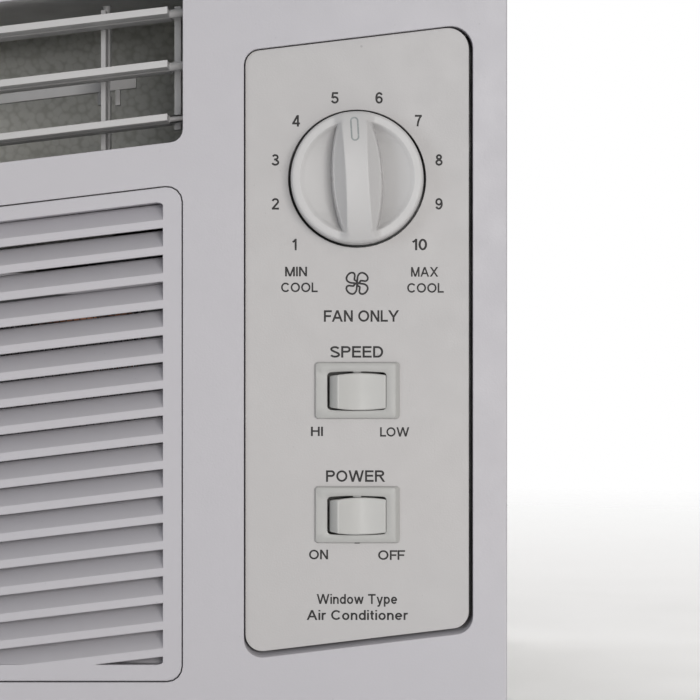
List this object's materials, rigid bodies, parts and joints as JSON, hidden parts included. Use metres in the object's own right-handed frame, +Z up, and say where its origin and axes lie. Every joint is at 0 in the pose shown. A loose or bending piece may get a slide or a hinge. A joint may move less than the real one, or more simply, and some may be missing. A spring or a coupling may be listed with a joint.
{
  "type": "window air conditioner",
  "caption": "Window air conditioner with an off-white front, slanted control panel, turning temperature knob, rocker switches, tilting louvers and a slide-out filter.",
  "frame": {"origin": "middle of the footprint at the bottom of the base pan", "axes": "+Z up, the room side faces -Y, +X to the right as seen from the room"},
  "size_m": [0.47, 0.394, 0.318],
  "materials": {
    "fascia_plastic": "cool off-white ABS with a very fine moulded grain",
    "louver_plastic": "off-white ABS, smooth",
    "panel_plastic": "slightly warmer off-white ABS, satin",
    "knob_plastic": "off-white ABS, soft gloss",
    "switch_nylon": "pale grey nylon, satin",
    "filter_plastic": "dark grey polypropylene",
    "filter_net": "woven polyester net",
    "zinc_plated": "bright zinc plate",
    "galvanised_sheet": "galvanised steel sheet with faint spangle",
    "copper_tube": "drawn copper tube, slightly dulled",
    "can_aluminium": "drawn aluminium can",
    "duct_foam": "moulded polystyrene foam",
    "fan_plastic": "black polypropylene",
    "black_enamel": "black enamel on steel",
    "fin_aluminium": "thin bare aluminium fins",
    "grommet_rubber": "black rubber",
    "painted_cabinet": "off-white baked enamel on steel sheet"
  },
  "bodies": {
    "root": {"front_fascia": "fascia_plastic", "intake_grille": "fascia_plastic", "filter_guide_lower": "fascia_plastic", "filter_guide_upper": "fascia_plastic", "discharge_hood": "louver_plastic", "control_panel": "panel_plastic", "speed_switch_body": "switch_nylon", "power_switch_body": "switch_nylon", "thermostat_body": "galvanised_sheet", "thermostat_line": "copper_tube", "thermostat_bulb": "copper_tube", "control_box": "black_enamel", "run_capacitor": "can_aluminium", "capacitor_strap": "zinc_plated", "blower_scroll": "duct_foam", "scroll_front": "duct_foam", "drip_tray": "duct_foam", "condenser_shroud": "fan_plastic", "fan_motor": "black_enamel", "motor_bracket": "galvanised_sheet", "evaporator_coil": "fin_aluminium", "condenser_coil": "fin_aluminium", "compressor": "black_enamel", "accumulator": "black_enamel", "compressor_grommet_1": "grommet_rubber", "compressor_grommet_2": "grommet_rubber", "compressor_grommet_3": "grommet_rubber", "cord_gland": "grommet_rubber", "discharge_pipe": "copper_tube", "suction_pipe": "copper_tube", "capillary_tube": "copper_tube", "bulkhead": "galvanised_sheet", "base_pan": "galvanised_sheet", "cabinet_wrap": "painted_cabinet", "top_rail": "painted_cabinet", "rail_screw_1": "zinc_plated", "rail_screw_2": "zinc_plated", "side_screw_1": "zinc_plated", "side_screw_2": "zinc_plated", "side_screw_3": "zinc_plated", "side_screw_4": "zinc_plated"},
    "knob": {"temperature_knob": "knob_plastic", "thermostat_shaft": "zinc_plated"},
    "speed_rocker": {"speed_rocker": "switch_nylon"},
    "power_rocker": {"power_rocker": "switch_nylon"},
    "louver_1": {"louver_1": "louver_plastic"},
    "louver_2": {"louver_2": "louver_plastic"},
    "louver_3": {"louver_3": "louver_plastic"},
    "louver_link": {"louver_link": "louver_plastic"},
    "vane_1": {"vane_1": "louver_plastic"},
    "vane_2": {"vane_2": "louver_plastic"},
    "vane_3": {"vane_3": "louver_plastic"},
    "vane_4": {"vane_4": "louver_plastic"},
    "vane_5": {"vane_5": "louver_plastic"},
    "vane_link": {"vane_link": "louver_plastic"},
    "filter": {"filter_frame": "filter_plastic", "filter_net": "filter_net"},
    "fan_rotor": {"fan_shaft": "zinc_plated", "blower_wheel": "fan_plastic", "condenser_fan": "fan_plastic"}
  },
  "joints": [
    {"name": "knob_turn", "type": "hinge", "parent": "root", "child": "knob", "pos_m": [0.179, -0.18, 0.214], "axis": [0, 1, 0], "range_deg": [-177, 139.6]},
    {"name": "speed_rock", "type": "hinge", "parent": "root", "child": "speed_rocker", "pos_m": [0.179, -0.17454, 0.1347], "axis": [0, 0, -1], "range_deg": [0, 22]},
    {"name": "power_rock", "type": "hinge", "parent": "root", "child": "power_rocker", "pos_m": [0.179, -0.17454, 0.0883], "axis": [0, 0, -1], "range_deg": [0, 22]},
    {"name": "louver_tilt_1", "type": "hinge", "parent": "root", "child": "louver_1", "pos_m": [-0.05, -0.167, 0.21844], "axis": [0.993, 0, 0.1184], "range_deg": [-25, 25]},
    {"name": "louver_tilt_2", "type": "hinge", "parent": "root", "child": "louver_2", "pos_m": [-0.05, -0.167, 0.23844], "axis": [0.993, 0, 0.1184], "range_deg": [-25, 25]},
    {"name": "louver_tilt_3", "type": "hinge", "parent": "root", "child": "louver_3", "pos_m": [-0.05, -0.167, 0.25844], "axis": [0.993, 0, 0.1184], "range_deg": [-25, 25]},
    {"name": "louver_link_slide", "type": "slide", "parent": "root", "child": "louver_link", "axis": [-0.1184, 0, 0.993], "range_m": [-0.0044, 0.0044]},
    {"name": "vane_swing_1", "type": "hinge", "parent": "root", "child": "vane_1", "pos_m": [-0.1812, -0.139, 0.2228], "axis": [0, 0, 1], "range_deg": [-30, 30]},
    {"name": "vane_swing_2", "type": "hinge", "parent": "root", "child": "vane_2", "pos_m": [-0.1156, -0.139, 0.23062], "axis": [0, 0, 1], "range_deg": [-30, 30]},
    {"name": "vane_swing_3", "type": "hinge", "parent": "root", "child": "vane_3", "pos_m": [-0.05, -0.139, 0.23844], "axis": [0, 0, 1], "range_deg": [-30, 30]},
    {"name": "vane_swing_4", "type": "hinge", "parent": "root", "child": "vane_4", "pos_m": [0.0156, -0.139, 0.24627], "axis": [0, 0, 1], "range_deg": [-30, 30]},
    {"name": "vane_swing_5", "type": "hinge", "parent": "root", "child": "vane_5", "pos_m": [0.0812, -0.139, 0.25409], "axis": [0, 0, 1], "range_deg": [-30, 30]},
    {"name": "vane_link_slide", "type": "slide", "parent": "root", "child": "vane_link", "axis": [-1, 0, 0], "range_m": [-0.006, 0.006]},
    {"name": "filter_slide", "type": "slide", "parent": "root", "child": "filter", "axis": [-1, 0, 0], "range_m": [0, 0.3]},
    {"name": "fan_spin", "type": "hinge", "parent": "root", "child": "fan_rotor", "pos_m": [-0.055, 0, 0.14], "axis": [0, 1, 0], "continuous": true}
  ],
  "couplings": [
    {"joint": "louver_tilt_2", "follows": "louver_tilt_1", "ratio": 1},
    {"joint": "louver_tilt_3", "follows": "louver_tilt_1", "ratio": 1},
    {"joint": "louver_link_slide", "follows": "louver_tilt_1", "m_per_rad": 0.01},
    {"joint": "vane_swing_2", "follows": "vane_swing_1", "ratio": 1},
    {"joint": "vane_swing_3", "follows": "vane_swing_1", "ratio": 1},
    {"joint": "vane_swing_4", "follows": "vane_swing_1", "ratio": 1},
    {"joint": "vane_swing_5", "follows": "vane_swing_1", "ratio": 1},
    {"joint": "vane_link_slide", "follows": "vane_swing_1", "m_per_rad": 0.0111}
  ]
}
